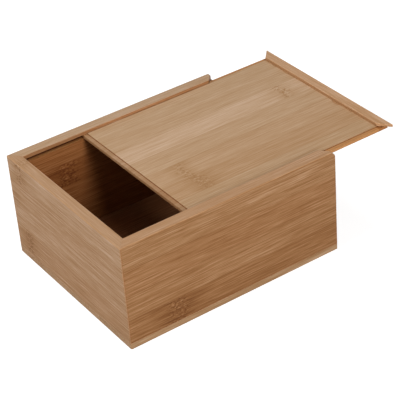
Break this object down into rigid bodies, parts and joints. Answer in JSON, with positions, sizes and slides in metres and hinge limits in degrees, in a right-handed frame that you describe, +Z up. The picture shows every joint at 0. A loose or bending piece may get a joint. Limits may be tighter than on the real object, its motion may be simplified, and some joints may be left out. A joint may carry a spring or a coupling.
{
  "type": "sliding lid wooden box",
  "caption": "Small rectangular laminated bamboo box with mitred corners and a flat lid that slides lengthwise in grooves, for papers and keepsakes.",
  "frame": {"origin": "centre of the box's underside, without the drawn-out lid", "axes": "+X along the box, towards the end where the lid draws out; +Z up; -Y towards the near side"},
  "size_m": [0.2334, 0.151, 0.084],
  "materials": {
    "side_walls": "satin",
    "end_walls": "satin",
    "bottom": "satin",
    "lid": "satin"
  },
  "bodies": {
    "box": {"near_side_wall": "side_walls", "far_side_wall": "side_walls", "closed_end_wall": "end_walls", "open_end_wall": "end_walls", "bottom_board": "bottom"},
    "lid": {"lid_panel": "lid", "lid_end_strip": "lid"}
  },
  "joints": [
    {"name": "lid_slide", "type": "slide", "parent": "box", "child": "lid", "axis": [1, 0, 0], "range_m": [-0.0534, 0.11]}
  ]
}
